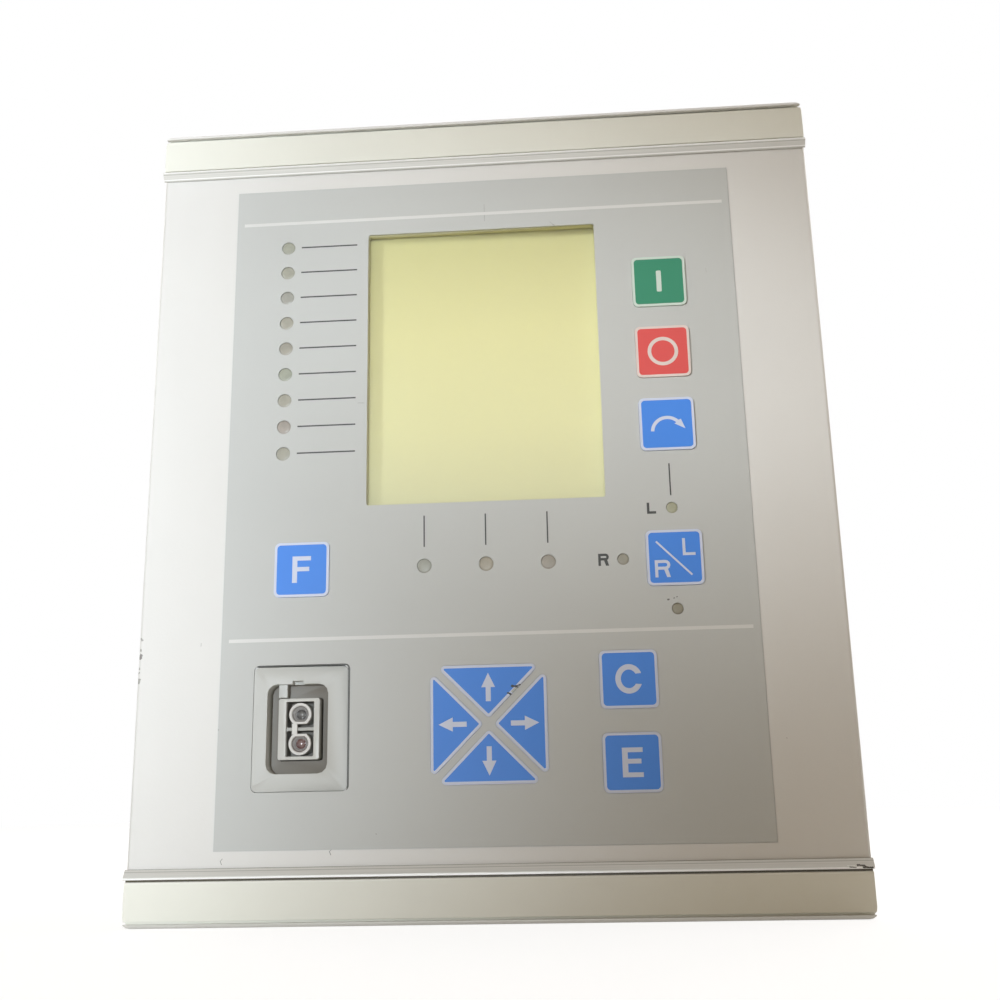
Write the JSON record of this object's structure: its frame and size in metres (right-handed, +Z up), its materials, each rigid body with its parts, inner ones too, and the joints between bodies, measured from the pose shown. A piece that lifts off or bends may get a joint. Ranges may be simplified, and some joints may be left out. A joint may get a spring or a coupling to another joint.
{
  "type": "protection relay",
  "caption": "Panel-mounted feeder protection relay: framed front with a graphic display, sprung keys, lamps and an optical port, on a deep case with plug-in modules and rear terminals.",
  "frame": {"origin": "middle of the unit's width and depth, on the level of the front frame's lower edge", "axes": "+Z up; the front with its keys looks along -Y; +X is to the right of someone who faces it"},
  "size_m": [0.2238, 0.235, 0.2659],
  "materials": {
    "anodised_rail": "silver anodised extrusion, satin, with a paler worn lip",
    "beige_strip": "beige printed strip, matt, slightly yellowed",
    "painted_plate": "light grey powder coat, fine texture, a few chips at the edges",
    "grey_film": "mid grey overlay film, fine matt grain",
    "clear_window": "thin clear sheet",
    "display": "unlit yellow-green liquid crystal panel",
    "white_plastic": "pale moulded plastic, satin",
    "black_plastic": "black moulded plastic, satin",
    "circuit_board": "green solder mask",
    "green_key": "dark green key with a white border and symbol",
    "red_key": "red key with a white border and symbol",
    "blue_key": "blue key with a white border and legend",
    "lamp_lens": "smoky clear lens, unlit",
    "port_plastic": "light grey moulded plastic, satin",
    "port_socket": "pale moulded socket with a dark lens in its bore",
    "zinc_sheet": "zinc-plated sheet, dull grain",
    "bright_steel": "plated steel, bright",
    "laminated_iron": "varnished core plates round a wrapped winding",
    "capacitor_sleeve": "dark shrink sleeve"
  },
  "bodies": {
    "relay": {"top_rail": "anodised_rail", "bottom_rail": "anodised_rail", "top_label_strip": "beige_strip", "bottom_label_strip": "beige_strip", "front_plate": "painted_plate", "overlay_film": "grey_film", "display_window": "clear_window", "display_glass": "display", "display_backlight": "white_plastic", "display_bezel": "black_plastic", "keypad_board": "circuit_board", "alarm_lamps": "lamp_lens", "status_lamps": "lamp_lens", "local_lamp": "lamp_lens", "remote_lamp": "lamp_lens", "logic_lamp": "lamp_lens", "port_surround": "port_plastic", "port_housing": "white_plastic", "port_receiver": "port_socket", "port_transmitter": "port_socket", "case_body": "zinc_sheet", "case_cover": "zinc_sheet", "bus_board": "circuit_board", "lower_card_guide": "black_plastic", "upper_card_guide": "black_plastic", "input_slot_plate": "zinc_sheet", "input_terminal_block": "black_plastic", "input_card": "circuit_board", "input_transformer_1": "laminated_iron", "input_transformer_2": "laminated_iron", "input_transformer_3": "laminated_iron", "input_transformer_4": "laminated_iron", "input_transformer_5": "laminated_iron", "cpu_slot_plate": "zinc_sheet", "cpu_card": "circuit_board", "service_socket": "bright_steel", "bus_socket": "bright_steel", "power_slot_plate": "zinc_sheet", "power_card": "circuit_board", "power_transformer": "laminated_iron", "filter_capacitor": "capacitor_sleeve", "power_plug_upper": "black_plastic", "power_plug_lower": "black_plastic", "io_slot_plate": "zinc_sheet", "io_card": "circuit_board", "io_plug_upper": "black_plastic", "io_plug_lower": "black_plastic", "spare_slot_plate": "zinc_sheet", "earth_screw": "bright_steel"},
    "close_button": {"key_close": "green_key"},
    "open_button": {"key_open": "red_key"},
    "select_button": {"key_select": "blue_key"},
    "place_button": {"key_place": "blue_key"},
    "function_button": {"key_function": "blue_key"},
    "cancel_button": {"key_cancel": "blue_key"},
    "enter_button": {"key_enter": "blue_key"},
    "up_button": {"key_up": "blue_key"},
    "down_button": {"key_down": "blue_key"},
    "left_button": {"key_left": "blue_key"},
    "right_button": {"key_right": "blue_key"}
  },
  "joints": [
    {"name": "close_press", "type": "slide", "parent": "relay", "child": "close_button", "axis": [0, 1, 0], "range_m": [0, 0.0005], "stiffness_N_per_m": 3000},
    {"name": "open_press", "type": "slide", "parent": "relay", "child": "open_button", "axis": [0, 1, 0], "range_m": [0, 0.0005], "stiffness_N_per_m": 3000},
    {"name": "select_press", "type": "slide", "parent": "relay", "child": "select_button", "axis": [0, 1, 0], "range_m": [0, 0.0005], "stiffness_N_per_m": 3000},
    {"name": "place_press", "type": "slide", "parent": "relay", "child": "place_button", "axis": [0, 1, 0], "range_m": [0, 0.0005], "stiffness_N_per_m": 3000},
    {"name": "function_press", "type": "slide", "parent": "relay", "child": "function_button", "axis": [0, 1, 0], "range_m": [0, 0.0005], "stiffness_N_per_m": 3000},
    {"name": "cancel_press", "type": "slide", "parent": "relay", "child": "cancel_button", "axis": [0, 1, 0], "range_m": [0, 0.0005], "stiffness_N_per_m": 3000},
    {"name": "enter_press", "type": "slide", "parent": "relay", "child": "enter_button", "axis": [0, 1, 0], "range_m": [0, 0.0005], "stiffness_N_per_m": 3000},
    {"name": "up_press", "type": "slide", "parent": "relay", "child": "up_button", "axis": [0, 1, 0], "range_m": [0, 0.0005], "stiffness_N_per_m": 3000},
    {"name": "down_press", "type": "slide", "parent": "relay", "child": "down_button", "axis": [0, 1, 0], "range_m": [0, 0.0005], "stiffness_N_per_m": 3000},
    {"name": "left_press", "type": "slide", "parent": "relay", "child": "left_button", "axis": [0, 1, 0], "range_m": [0, 0.0005], "stiffness_N_per_m": 3000},
    {"name": "right_press", "type": "slide", "parent": "relay", "child": "right_button", "axis": [0, 1, 0], "range_m": [0, 0.0005], "stiffness_N_per_m": 3000}
  ]
}
